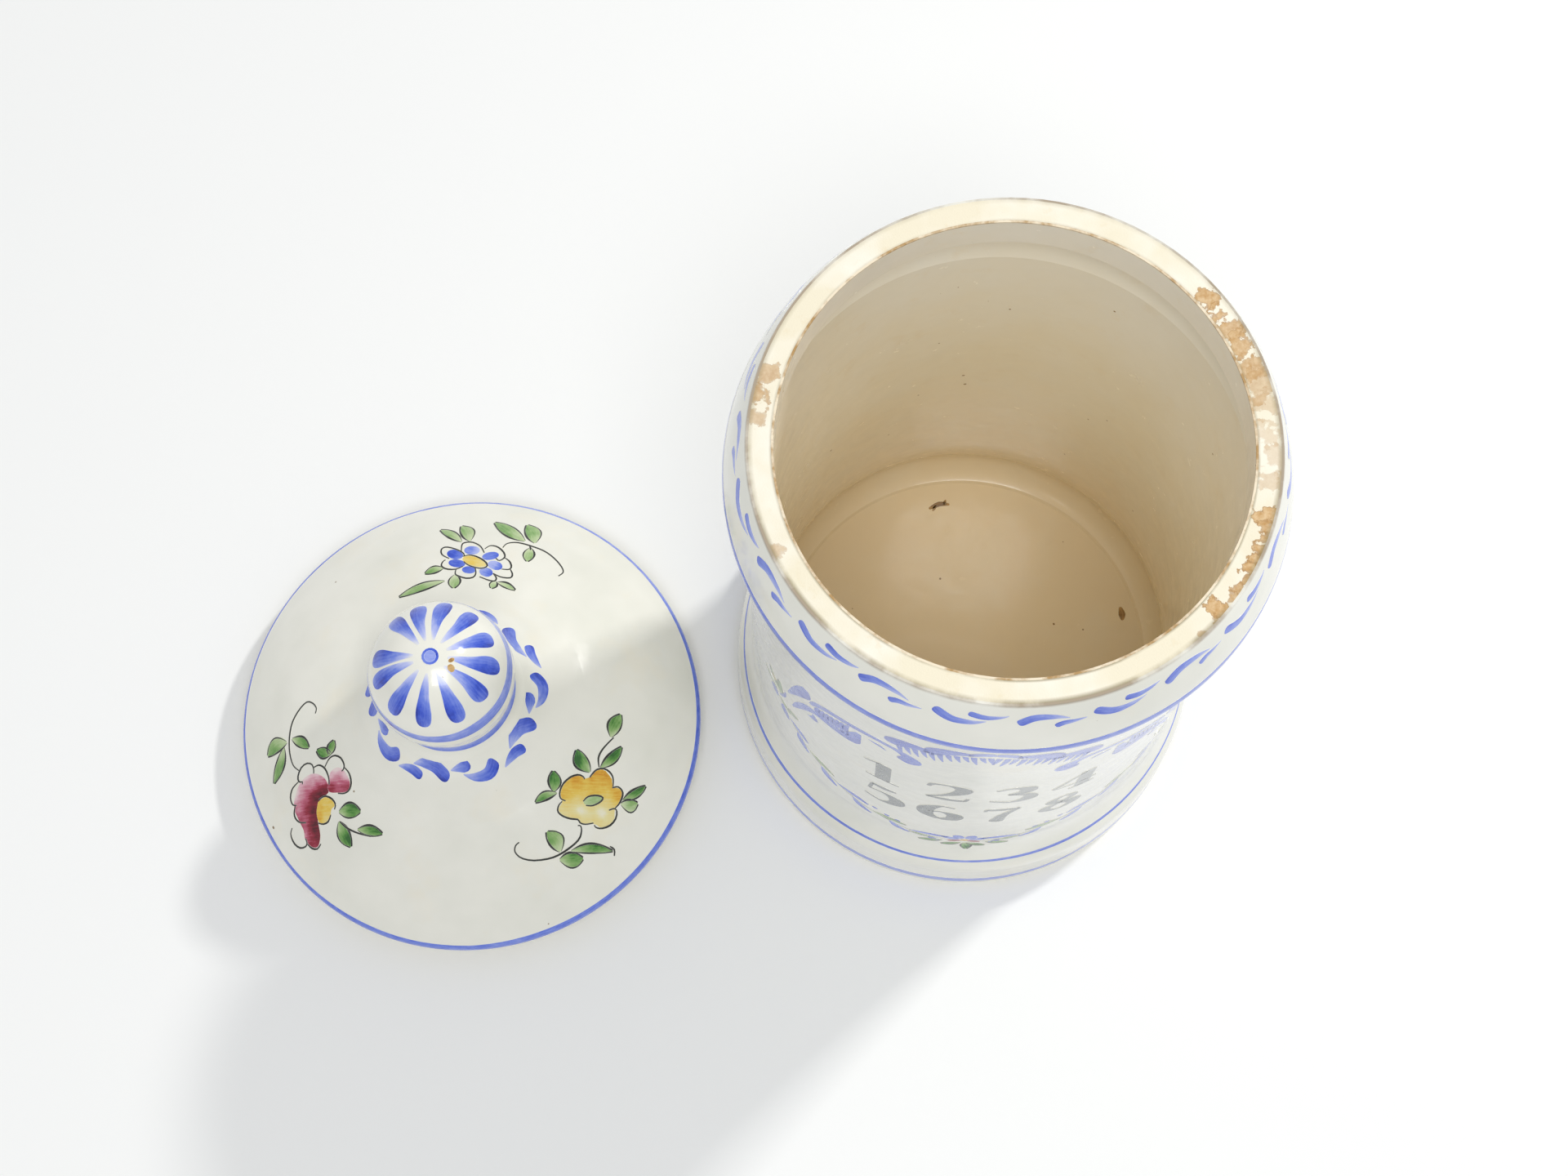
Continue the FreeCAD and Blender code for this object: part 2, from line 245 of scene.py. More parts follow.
for turn, across, reach, darkness in RIM_STAINS:
    spot = (across * MM * math.cos(math.radians(turn)), across * MM * math.sin(math.radians(turn)), RIM_TOP)
    away = add(tree, "ShaderNodeVectorMath", {"operation": "DISTANCE", 0: place, 1: spot}).outputs["Value"]
    fray = STAIN_FRAY * reach * MM
    frayed = add(
        tree,
        "ShaderNodeMapRange",
        {"Value": mottle, "From Min": 0.3, "From Max": 0.7, "To Min": fray, "To Max": -fray},
    ).outputs[0]
    ragged = add(tree, "ShaderNodeMath", {"operation": "ADD", 0: away, 1: frayed}).outputs[0]
    # a dark outline, and what has soaked in inside it
    for border, softness, colour in ((reach, 0.15, "#ad8350"), (reach - 0.25, 0.3, soaked)):
        covered = add(
            tree,
            "ShaderNodeMapRange",
            {"Value": ragged, "From Min": border * MM, "From Max": (border - softness) * MM, "To Max": darkness},
        ).outputs[0]
        clay = stained(tree, clay, (covered, colour))
outer_edge = {"From Min": RIM_OUTSIDE - DIRT_WIDTH, "From Max": RIM_OUTSIDE}
inner_edge = {"From Min": RIM_INSIDE + DIRT_WIDTH_INSIDE, "From Max": RIM_INSIDE, "To Max": 0.8}
to_outside, to_inside = (
    add(tree, "ShaderNodeMapRange", {"Value": radius, **edge}).outputs[0] for edge in (outer_edge, inner_edge)
)
dirt = add(tree, "ShaderNodeMath", {"operation": "MAXIMUM", 0: to_outside, 1: to_inside}).outputs[0]
on_rim = add(
    tree, "ShaderNodeMapRange", {"Value": apart["Z"], "From Min": RIM_TOP - 1.5 * MM, "From Max": RIM_TOP - 0.5 * MM}
).outputs[0]
# painted shade: the dirt line along the rim's edges is drawn darker towards the front, the side turned from the
# window lamp
painted_shade_in_front = add(
    tree,
    "ShaderNodeMapRange",
    {"Value": apart["Y"], "From Min": 25 * MM, "From Max": -25 * MM, "To Min": 0.4, "To Max": 1.0},
).outputs[0]
broken_line = patches(tree, place, DIRT_PATCHES, 0.36, 0.56, 0.15, 0.95, detail=8.0)
for share in (broken_line, on_rim, painted_shade_in_front):
    dirt = add(tree, "ShaderNodeMath", {"operation": "MULTIPLY", 0: dirt, 1: share}).outputs[0]
clay = stained(tree, clay, (dirt, "#8a7d58"))
pits = patches(tree, place, CLAY_GRIT, 0.3, 0.7, detail=2.0)
rough_skin = add(tree, "ShaderNodeBump", {"Strength": 0.5, "Distance": 0.05 * MM, "Height": pits}).outputs[0]
biscuit = add(
    tree,
    "ShaderNodeBsdfPrincipled",
    {"Base Color": clay, "Roughness": 0.72, "IOR": 1.5, "Specular IOR Level": 0.3, "Normal": rough_skin},
)
add(tree, "ShaderNodeOutputMaterial", {"Surface": biscuit.outputs[0]})
coat(("jar_body", "lid_cap", "lid_knob"), buff_earthenware)

# ---- The white glaze: jar outside and underneath, lid top ----
# A lead glaze made opaque with tin, poured over the biscuit and fired. It is glossy and softly uneven, a little
# thin and warm over edges, with pinholes and a few dark specks of iron in it.
GLAZE_WHITE, GLAZE_GREY = "#f3f2e8", "#e9e9de"
WHITE_ROUGHNESS, CREAM_ROUGHNESS = 0.1, 0.14
GLAZE_WAVE, ORANGE_PEEL, ORANGE_PEEL_SHARE = 9 * MM, 1.4 * MM, 0.015
PINHOLE_GAP, PINHOLE, SPECK_GAP, SPECK = 5 * MM, 0.16 * MM, 11 * MM, 0.3 * MM
DOT_BORDER = 0.012  # how soft a dot's border is, as a share of the gap between dots
POOLS, THIN_PATCHES, GRIME_PATCHES, DULL_PATCHES = 22 * MM, 13 * MM, 11 * MM, 4 * MM


def dots(tree, place, gap, dot):
    """Scattered round dots, one in each cell of a random net: 1 in a dot and 0 between."""
    cells = add(tree, "ShaderNodeTexVoronoi", {"Scale": 1 / gap, "Vector": place}).outputs["Distance"]
    sized = patches(tree, place, gap * 1.7, 0.4, 0.62, 0.0, dot / gap)
    beyond = add(tree, "ShaderNodeMath", {"operation": "SUBTRACT", 0: cells, 1: sized}).outputs[0]
    return add(tree, "ShaderNodeMapRange", {"Value": beyond, "From Min": DOT_BORDER, "From Max": 0.0}).outputs[0]


def fired_gloss(tree, place, colour, roughness):
    """Finish a glazed surface: the glassy skin, its soft waves and its pinholes, under a colour."""
    look = {"Detail": 2.0, "Roughness": 0.6, "Vector": place}
    height, wave = (
        add(tree, "ShaderNodeTexNoise", {"Scale": 1 / size, **look}).outputs["Fac"]
        for size in (ORANGE_PEEL, GLAZE_WAVE)
    )
    holes = dots(tree, place, PINHOLE_GAP, PINHOLE)
    for operation, value in (("MULTIPLY", ORANGE_PEEL_SHARE), ("ADD", wave), ("SUBTRACT", holes)):
        height = add(tree, "ShaderNodeMath", {"operation": operation, 0: height, 1: value}).outputs[0]
    skin = add(tree, "ShaderNodeBump", {"Strength": 0.3, "Distance": 0.35 * MM, "Height": height}).outputs[0]
    worn = patches(tree, place, DULL_PATCHES, 0.35, 0.75, roughness, roughness + 0.16, detail=5.0)
    glassy = {"IOR": 1.52, "Coat Weight": 0.25, "Coat Roughness": 0.06}
    glass = add(
        tree, "ShaderNodeBsdfPrincipled", {"Base Color": colour, "Roughness": worn, "Normal": skin, **glassy}
    )
    add(tree, "ShaderNodeOutputMaterial", {"Surface": glass.outputs[0]})


white_tin_glaze, tree, place = new_material("white_tin_glaze")
rise = add(tree, "ShaderNodeSeparateXYZ", {"Vector": place}).outputs["Z"]
at_rim = add(
    tree, "ShaderNodeMapRange", {"Value": rise, "From Min": RIM_TOP - 0.7 * MM, "From Max": RIM_TOP - 0.1 * MM}
).outputs[0]
grimy = patches(tree, place, GRIME_PATCHES, 0.36, 0.56, 0.1, 0.75, detail=8.0)
rim_grime = add(tree, "ShaderNodeMath", {"operation": "MULTIPLY", 0: at_rim, 1: grimy}).outputs[0]
white = stained(
    tree,
    GLAZE_WHITE,
    (patches(tree, place, POOLS, 0.35, 0.7), GLAZE_GREY),
    (patches(tree, place, THIN_PATCHES, 0.56, 0.72, 0.0, 0.35), "#f2ebd6"),
    (dots(tree, place, SPECK_GAP, SPECK), "#8a7352"),
    (rim_grime, "#8f7654"),
)
fired_gloss(tree, place, white, WHITE_ROUGHNESS)
coat(("jar_outer_glaze", "jar_base_glaze", "lid_top_glaze"), white_tin_glaze)

# ---- The cream glaze: jar inside and lid hollow ----
# A clear lead glaze straight on the buff clay. It is cream near the mouth and painted darker and tanner towards the
# floor as painted shade deep inside the jar, with tan clouds and brown specks in it, and its lip is worn brown.
FLOOR_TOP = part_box("jar_inner_glaze")[0].z
FLOW, TAN_CLOUDS, BROWN_SPECK_GAP, LIP_WEAR = 18 * MM, 7 * MM, 7 * MM, 4 * MM
cream_lead_glaze, tree, place = new_material("cream_lead_glaze")
rise = add(tree, "ShaderNodeSeparateXYZ", {"Vector": place}).outputs["Z"]
# painted shade: the glaze colour darkens and tans from the rim down to the floor, standing in for the shade deep
# inside the jar
painted_shade_by_height = add(tree, "ShaderNodeMapRange", {"Value": rise, "From Min": FLOOR_TOP, "From Max": RIM_TOP}).outputs[0]
run_down = patches(tree, place, FLOW, 0.3, 0.7, -0.12, 0.12)
uneven = add(tree, "ShaderNodeMath", {"operation": "ADD", 0: painted_shade_by_height, 1: run_down}).outputs[0]
ramp = add(tree, "ShaderNodeValToRGB", {0: uneven})
ramp.color_ramp.elements[0].color = linear("#fdeac5")
ramp.color_ramp.elements[1].color = linear("#fefaee")
ramp.color_ramp.elements.new(0.45).color = linear("#fdf3da")
at_lip = add(
    tree, "ShaderNodeMapRange", {"Value": rise, "From Min": RIM_TOP - 0.5 * MM, "From Max": RIM_TOP - 0.1 * MM}
).outputs[0]
worn_lip = stained(tree, "#f1e4ca", (patches(tree, place, LIP_WEAR, 0.42, 0.6, detail=6.0), "#b5925f"))
cream = stained(
    tree,
    ramp.outputs[0],
    (patches(tree, place, TAN_CLOUDS, 0.58, 0.78, 0.0, 0.35, detail=5.0), "#f5e3c0"),
    (dots(tree, place, BROWN_SPECK_GAP, SPECK), "#9a7a50"),
    (at_lip, worn_lip),
)
fired_gloss(tree, place, cream, CREAM_ROUGHNESS)
coat(("jar_inner_glaze", "lid_inner_glaze"), cream_lead_glaze)

# ---- The knob's painting ----
# Brushwork in metal-oxide paints on the raw white glaze, into which they sink in the firing. Here twelve cobalt
# petals lie round a dot on the crown, and two lines run round the side.
random.seed(7)
# in millimetres out from the glaze's skin: a film's underside, its top, and the step from one layer to the next
FILM_LOW, FILM_LIFT, FILM_STEP = -0.06, 0.05, 0.02
SHARP_EDGE = math.radians(35)
BRUSH_HAIR, WASH = 0.4, 2.2 * MM  # the brush attribute is in millimetres, and places are in metres


def paint(name, *stops):
    """A fired-on paint whose colour follows how thickly it was brushed: bare glaze first, then each stop."""
    material, tree, place = new_material(name)
    brush = add(tree, "ShaderNodeAttribute", {"attribute_name": "brush"}).outputs["Vector"]
    thick = add(tree, "ShaderNodeSeparateXYZ", {"Vector": brush}).outputs["Z"]
    along = add(tree, "ShaderNodeVectorMath", {"operation": "MULTIPLY", 0: brush, 1: (0.15, 1.0, 0.0)}).outputs[0]
    streaks = patches(tree, along, BRUSH_HAIR, 0.3, 0.7, 0.8, 1.12, detail=2.0)
    pooled = patches(tree, place, WASH, 0.35, 0.65, 0.86, 1.1)
    for share in (streaks, pooled):
        thick = add(tree, "ShaderNodeMath", {"operation": "MULTIPLY", 0: thick, 1: share}).outputs[0]
    ramp = add(tree, "ShaderNodeValToRGB", {0: thick})
    ramp.color_ramp.elements[0].color = linear(GLAZE_WHITE)
    ramp.color_ramp.elements[1].color = linear(stops[-1][1])
    for position, code in stops[:-1]:
        ramp.color_ramp.elements.new(position).color = linear(code)
    fired_gloss(tree, place, ramp.outputs[0], WHITE_ROUGHNESS)
    return material


cobalt_blue = paint(
    "cobalt_blue_paint", (0.18, "#bcc5f2"), (0.45, "#7289e4"), (0.75, "#3a59d2"), (1, "#1f36a4")
)


def surface_of(node):
    """The surface of a glaze node, ready to be met by a ray."""
    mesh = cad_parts[node].data
    return BVHTree.FromPolygons([v.co for v in mesh.vertices], [p.vertices for p in mesh.polygons])


lid_top = surface_of("lid_top_glaze")
lid_low, lid_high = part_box("lid_top_glaze")
LID_AXIS = Vector(((lid_low.x + lid_high.x) / 2, (lid_low.y + lid_high.y) / 2, 0))


def on_lid(x, y):
    """The lid's top at x to the right of its axis and y behind it, in millimetres, met from above."""
    start = LID_AXIS + Vector((x * MM, y * MM, lid_high.z + MM))
    return lid_top.ray_cast(start, Vector((0, 0, -1)))[:2]


def round_lid(radius, facing=0.0):
    """A place on the lid's top by how far round a circle it is and how far outside it, in millimetres."""

    def meet(around, outside):
        angle = math.radians(facing) + around / radius
        return on_lid((radius + outside) * math.cos(angle), (radius + outside) * math.sin(angle))

    return meet


def wrapped(surface, axis, radius, facing):
    """A place on an upright wall by how far round its middle circle it is and how high, met from outside."""

    def meet(around, level):
        angle = math.radians(facing) + around / radius
        outwards = Vector((math.cos(angle), math.sin(angle), 0))
        start = axis + outwards * (radius * 2 * MM) + Vector((0, 0, level * MM))
        return surface.ray_cast(start, -outwards)[:2]

    return meet


def between(values, t):
    """The value at a share t of the way along a list, on a smooth curve through all of them."""
    if not isinstance(values, (list, tuple)):
        return values
    spot = min(max(t, 0.0), 1.0) * (len(values) - 1)
    i = min(int(spot), len(values) - 2)
    f = spot - i
    a, b, c, d = (values[min(max(j, 0), len(values) - 1)] for j in (i - 1, i, i + 1, i + 2))
    return 0.5 * (2 * b + (c - a) * f + (2 * a - 5 * b + 4 * c - d) * f**2 + (3 * b - a - 3 * c + d) * f**3)


def start_painting():
    """An empty bmesh that keeps, for each point, the way out of the pot and how the brush passed it."""
    bm = bmesh.new()
    bm.verts.layers.float_vector.new("outward")
    bm.verts.layers.float_vector.new("brush")
    return bm


def lay(bm, verts, meet, spot_at, layer):
    """Lay a sheet of paint on the pot. spot_at gives a point's place on the design, and its brush values."""
    outward, brush = (bm.verts.layers.float_vector[name] for name in ("outward", "brush"))
    for vert in verts:
        x, y, along, across, depth = spot_at(vert.co.x + 0.5, vert.co.y + 0.5)
        spot, way = meet(x, y)
        vert[outward] = way
        vert[brush] = (along, across, depth)
        vert.co = spot + way * (FILM_LOW * MM)
        vert.co += way * (FILM_STEP * layer * MM)


def stroke(bm, meet, points, width, depth=0.8, shade=0.0, layer=0, closed=False):
    """One pass of the brush through the points, with its widths and depths along it, darker to one side by shade.

    Its ends are round and its borders soft, unless it is closed: then it runs round the pot and meets itself.
    """
    xs, ys = [p[0] for p in points], [p[1] for p in points]
    length = sum(math.dist(points[i], points[i + 1]) for i in range(len(points) - 1))
    widths = width if isinstance(width, (list, tuple)) else [width]
    rows = 10 if max(widths) > 0.9 else 4
    steps = min(420, int(length / 0.7)) if closed else max(8, min(36, int(length / 0.4)))
    grid = bmesh.ops.create_grid(bm, x_segments=steps, y_segments=rows, size=0.5)
    started = random.uniform(0, 50)
    round_start, round_end = (min(0.4, widths[k] / 2 / length) for k in (0, -1))

    def spot_at(u, s):
        t = u if closed else (1 - math.cos(math.pi * u)) / 2
        ahead_x = between(xs, t + 0.01) - between(xs, t - 0.01)
        ahead_y = 0.0 if closed else between(ys, t + 0.01) - between(ys, t - 0.01)
        stretch = math.hypot(ahead_x, ahead_y) or 1.0
        side = math.sin((s - 0.5) * math.pi)
        half = max(between(width, t), 0.08) / 2
        if not closed:
            shortfall = max(1 - t / round_start, 1 - (1 - t) / round_end, 0.0)
            half *= max(math.sqrt(max(1 - shortfall**2, 0.0)), 0.04)
        x = between(xs, t) - ahead_y / stretch * side * half
        y = between(ys, t) + ahead_x / stretch * side * half
        at_border = abs(side) > 0.99 or (not closed and u in (0.0, 1.0))
        thick = 0.0 if at_border else max(between(depth, t), 0.0) * (1 + shade * side)
        return x, y, started + t * length, side * half, thick

    lay(bm, grid["verts"], meet, spot_at, layer)


def finish_painting(bm, name, material, body):
    """Give the paint its thickness, so that each stroke is a thin closed film sunk in the glaze."""
    bmesh.ops.remove_doubles(bm, verts=bm.verts, dist=0.002 * MM)
    raised = bmesh.ops.extrude_face_region(bm, geom=bm.faces[:])
    outward = bm.verts.layers.float_vector["outward"]
    for vert in (item for item in raised["geom"] if isinstance(item, bmesh.types.BMVert)):
        vert.co += vert[outward] * ((FILM_LIFT - FILM_LOW) * MM)
    bmesh.ops.recalc_face_normals(bm, faces=bm.faces)
    for edge in bm.edges:
        edge.smooth = edge.calc_face_angle(0.0) < SHARP_EDGE
    for face in bm.faces:
        face.smooth = True
    bm.verts.layers.float_vector.remove(bm.verts.layers.float_vector["outward"])
    piece = make_object(name, bm, material)
    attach(piece, body)


def once_round(girth, level, steps, waver):
    """Points of a line that runs once round a circle at a level, wavers a little, and ends at the height it began."""
    circle = [(math.tau * girth * i / steps, level + random.uniform(-waver, waver)) for i in range(steps + 1)]
    circle[-1] = (circle[-1][0], circle[0][1])
    return circle


KNOB_GIRTH = 14.6
KNOB_PETALS = (53, 23, -5, -38, -68, -101, -133, -163, 172, 133, 105, 80)
bm = start_painting()
for angle in KNOB_PETALS:
    turn = math.radians(angle + random.uniform(-1.5, 1.5))
    bend = random.uniform(-0.5, 0.5)
    tip = 13.0 + random.uniform(-0.5, 0.2)
    spine = [(r * math.cos(turn) - bow * math.sin(turn), r * math.sin(turn) + bow * math.cos(turn))
             for r, bow in ((3.4, 0), (5.8, bend * 0.6), (8.2, bend), (10.8, bend * 0.6), (tip, 0))]
    full = 3.5 + random.uniform(-0.25, 0.25)
    side = random.choice((-0.35, 0.35))
    stroke(bm, on_lid, spine, [0.5, 1.5, full * 0.68, full, full * 0.86], [0.05, 0.28, 0.5, 0.74, 0.68], side)
ring = [(1.45 * math.cos(math.tau * i / 12), 1.45 * math.sin(math.tau * i / 12)) for i in range(14)]
stroke(bm, on_lid, [(-1.5, 0), (-0.7, 0), (0.7, 0), (1.5, 0)], [0.6, 2.6, 2.6, 0.6], 0.35)
stroke(bm, on_lid, ring, 0.6, [0.9, 0.7, 0.5, 0.6, 0.9], layer=1)
round_knob = wrapped(lid_top, LID_AXIS, KNOB_GIRTH, -60)
for level, widths in ((56.4, (3.3, 3.0, 2.6, 1.6, 1.2, 1.6, 2.2)), (42.2, (2.2, 2.0, 1.2, 0.9, 1.0, 0.9, 1.6))):
    circle = once_round(KNOB_GIRTH, level, 24, 0.12)
    stroke(bm, round_knob, circle, [*widths, widths[0]], [0.5, 0.42, 0.4, 0.5, 0.42, 0.5], -0.25, closed=True)
finish_painting(bm, "knob_painting", cobalt_blue, "lid")

# ---- The garlands ----
# Comma strokes in cobalt: each has the full round tip of the brush at one end and is drawn out to a thread at the
# other. They go in pairs that swing out and in by turns, round the knob's foot and round the jar's shoulder.
COMMA_PAIRS = (  # for each pair, two strokes: points as shares of the unit's length and of the garland's reach
    (
        ((0.0, 0.72), (0.14, 0.4), (0.32, 0.28), (0.5, 0.6)),
        ((0.26, -0.3), (0.46, -0.72), (0.72, -0.7), (0.97, 0.3)),
    ),
    (
        ((0.04, -0.5), (0.2, -0.66), (0.34, -0.72), (0.45, -1.1)),
        ((0.24, -0.06), (0.44, 0.4), (0.7, 0.45), (0.9, -0.4)),
    ),
)


def garland(bm, meet, length, units, reach, full, deep):
    """A ring of comma-stroke pairs, the heads swung outwards in one pair and inwards in the next."""
    unit = length / units
    for index in range(units):
        for points, size in zip(COMMA_PAIRS[index % 2], (0.8, 1.0)):
            shift, stretch = random.uniform(-0.03, 0.03), random.uniform(0.93, 1.07)
            spine = [((index + shift + x * stretch) * unit, y * reach * stretch) for x, y in points]
            broad = full * size * random.uniform(0.9, 1.08)
            widths = [0.2, broad * 0.62, broad * 0.95, broad]
            depths = [0.3 * deep, 0.55 * deep, 0.8 * deep, deep]
            stroke(bm, meet, spine, widths, depths, random.choice((-0.2, 0.2)))


KNOB_FOOT, NECK = 17.6, 15.5
round_knob_foot = round_lid(KNOB_FOOT, -129)


def on_knob_foot(around, outwards):
    """A place on the lid round the knob's foot, kept clear of the knob above."""
    return round_knob_foot(around, max(outwards, NECK - KNOB_FOOT))


bm = start_painting()
garland(bm, on_knob_foot, math.tau * KNOB_FOOT, 10, 1.9, 2.6, 0.82)
finish_painting(bm, "knob_foot_garland", cobalt_blue, "lid")

jar_wall = surface_of("jar_outer_glaze")
SHOULDER, SHOULDER_BAND = 146.0, 135.5
JAR_GIRTH, FACING = 46.0, -95.0
round_jar = wrapped(jar_wall, Vector(), JAR_GIRTH, FACING)


def on_shoulder(around, above):
    """A place on the jar's shoulder, with its height measured from the middle of the garland."""
    return round_jar(around, SHOULDER + above)


def mirrored(meet):
    """The same surface with left and right exchanged about the middle of the front."""
    return lambda across, level: meet(-across, level)


bm = start_painting()
garland(bm, mirrored(on_shoulder), math.tau * JAR_GIRTH, 22, 1.9, 1.9, 0.66)
finish_painting(bm, "shoulder_garland", cobalt_blue, "jar")

# ---- The lines round jar and lid ----
# Banded on the wheel: the pot turns while the loaded brush is held still against it, and the line fades and
# thickens as the brush empties.
bm = start_painting()
JAR_LINES = ((SHOULDER_BAND, 2.3, 0.6), (18.8, 1.0, 0.5), (4.8, 3.1, 0.5))  # level, width and depth of colour
for level, width, depth in JAR_LINES:
    circle = once_round(JAR_GIRTH, level, 30, 0.1)
    widths = [width * random.uniform(0.82, 1.15) for _ in range(12)]
    depths = [depth * random.uniform(0.8, 1.2) for _ in range(12)]
    stroke(bm, round_jar, circle, widths + widths[:1], depths + depths[:1], closed=True)
finish_painting(bm, "jar_bands", cobalt_blue, "jar")

bm = start_painting()
LID_EDGE, LID_EDGE_LEVEL = 50.9, 9.65
round_lid_edge = wrapped(lid_top, LID_AXIS, LID_EDGE, -90)
circle = once_round(LID_EDGE, LID_EDGE_LEVEL, 40, 0.05)
widths = [random.uniform(2.2, 2.5) for _ in range(16)]
stroke(bm, round_lid_edge, circle, widths + widths[:1], [0.5, 0.62, 0.45, 0.6, 0.7, 0.5], closed=True)
finish_painting(bm, "lid_edge_line", cobalt_blue, "lid")

# ---- The flower sprays on the lid ----
# Three sprays painted freehand between the knob and the edge: a blue, a red and a yellow flower, each with leaf
# pairs and a tendril. The colours are washed in first, and a fine brush then outlines them in black.
manganese_black = paint("manganese_black_paint", (0.2, "#9a9b97"), (0.45, "#4b4d4a"), (0.8, "#22241f"))
copper_green = paint(
    "copper_green_paint", (0.2, "#cfdcb2"), (0.5, "#8fb46f"), (0.8, "#56903f"), (1, "#31682a")
)
antimony_yellow = paint(
    "antimony_yellow_paint", (0.2, "#ece2a8"), (0.55, "#e9c95a"), (0.8, "#dfa832"), (1, "#c9801c")
)
manganese_red = paint(
    "manganese_red_paint", (0.2, "#e6bcc6"), (0.4, "#c4667f"), (0.62, "#962038"), (0.85, "#560c1a")
)


def wash(bm, meet, centre, outline, touches, layer=0):
    """A patch of colour round a centre, out to an outline. Each touch is a place and how thick it is there."""
    xs, ys = [p[0] for p in outline], [p[1] for p in outline]
    xs, ys = xs + xs[:1], ys + ys[:1]
    grid = bmesh.ops.create_grid(bm, x_segments=48, y_segments=9, size=0.5)

    def spot_at(t, s):
        share = math.sin(s * math.pi / 2)
        if t in (0.0, 1.0):
            edge_x, edge_y = xs[0], ys[0]
        else:
            edge_x, edge_y = between(xs, t), between(ys, t)
        x = centre[0] + (edge_x - centre[0]) * share
        y = centre[1] + (edge_y - centre[1]) * share
        weights = [1 / ((x - tx) ** 2 + (y - ty) ** 2 + 0.3) ** 1.5 for tx, ty, _ in touches]
        thick = sum(w * touch[2] for w, touch in zip(weights, touches)) / sum(weights)
        return x, y, x, y, 0.0 if s > 0.999 else thick

    lay(bm, grid["verts"], meet, spot_at, layer)


def oval(bm, meet, start, end, width, depth, layer=0):
    """A short full dab of the brush, round at both ends."""
    spine = [tuple(start[k] + (end[k] - start[k]) * share for k in (0, 1)) for share in (0, 0.33, 0.67, 1)]
    stroke(bm, meet, spine, [width * 0.35, width * 0.9, width, width * 0.9, width * 0.35], depth, layer=layer)


def leaf(green, black, meet, start, end, width, bend=0.0, tone=0.7):
    """A leaf from its stalk to its tip: a green dab, and a fine black line down each side."""
    dx, dy = end[0] - start[0], end[1] - start[1]
    length = math.hypot(dx, dy)
    sideways = (-dy / length, dx / length)

    def along(share, off):
        sway = bend * math.sin(share * math.pi) + off
        return start[0] + dx * share + sideways[0] * sway, start[1] + dy * share + sideways[1] * sway

    shares = (0, 0.2, 0.4, 0.6, 0.8, 1)
    spine = [along(share, 0) for share in shares]
    fill = [width * part for part in (0.12, 0.68, 0.98, 0.98, 0.72, 0.14)]
    stroke(green, meet, spine, fill, [tone * 0.45, tone * 0.65, tone, tone * 1.1, tone], 0.25)
    for side, line in ((1, 0.42), (-1, 0.3)):
        edge = [along(share, side * part / 2) for share, part in zip(shares, fill)]
        stroke(black, meet, edge, [0.1, line, line * 1.2, line * 0.8, line], [0.4, 0.8, 0.9, 0.7, 0.9], layer=1)


def outlines(black, meet, lines, width=0.42):
    """Fine black lines, each drawn in one pass through its points."""
    for line in lines:
        stroke(black, meet, line, [width * 0.6, width, width * 0.9, width * 0.7], [0.7, 0.9, 0.8, 0.6], layer=2)


blue, red, yellow, green, black = (start_painting() for _ in range(5))

# the blue flower, behind the knob
for start, end, width, depth in (
    ((-3.2, 35.1), (0.3, 33.5), 2.5, [0.8, 0.75, 0.5]),
    ((-2.7, 32.3), (1.0, 31.3), 2.1, [0.75, 0.7, 0.5]),
    ((0.5, 35.5), (4.0, 35.0), 2.4, [0.4, 0.4, 0.2]),
    ((4.6, 33.2), (8.2, 33.9), 2.2, [0.4, 0.5, 0.72]),
    ((6.0, 31.7), (9.1, 30.2), 2.3, [0.25, 0.35, 0.8]),
    ((4.3, 29.9), (7.1, 28.5), 2.3, [0.35, 0.45, 0.7]),
    ((0.4, 30.2), (3.4, 29.6), 1.9, [0.6, 0.6, 0.5]),
):
    oval(blue, on_lid, start, end, width, depth)
oval(yellow, on_lid, (0.4, 33.2), (5.7, 31.1), 2.5, [0.45, 0.5, 0.35], 1)
outlines(
    black,
    on_lid,
    (
        [(-2.6, 33.2), (-4.3, 34.4), (-4.6, 35.9), (-3.6, 36.5), (-1.5, 35.8), (0.3, 34.6), (0.7, 33.6)],
        [(-0.1, 35.0), (-0.1, 36.9), (0.5, 37.5), (2.2, 37.5), (4.0, 36.3), (5.0, 34.4)],
        [(5.0, 35.5), (6.2, 36.4), (7.8, 36.0), (9.2, 34.5), (9.5, 33.1), (8.4, 32.2), (7.6, 32.9)],
        [(9.5, 33.0), (10.6, 32.0), (11.1, 30.6), (10.6, 29.8), (9.0, 29.9)],
        [(10.8, 30.0), (11.4, 28.6), (11.0, 27.6), (9.0, 27.8), (7.2, 28.8)],
        [(7.3, 28.7), (8.0, 27.6), (7.7, 26.8), (6.4, 27.0), (4.3, 28.0)],
        [(3.2, 30.6), (3.5, 29.0), (3.0, 27.9), (1.4, 27.7), (-0.5, 28.5), (-1.0, 29.1), (-0.9, 30.2)],
        [(0.6, 30.9), (-1.0, 30.2), (-3.0, 30.4), (-4.2, 31.3), (-4.0, 32.4), (-3.4, 32.9)],
        [(0.3, 33.6), (1.8, 33.9), (3.6, 33.3), (5.4, 31.9), (5.8, 30.7), (4.4, 30.2), (2.0, 31.0), (0.6, 32.2)],
        [(8.9, 35.8), (9.8, 37.0), (12.0, 37.3), (15.0, 36.4), (18.2, 34.9), (20.8, 32.4), (22.2, 29.8),
         (21.2, 28.4)],
        [(14.7, 36.4), (14.9, 35.8), (14.9, 35.2)],
    ),
)
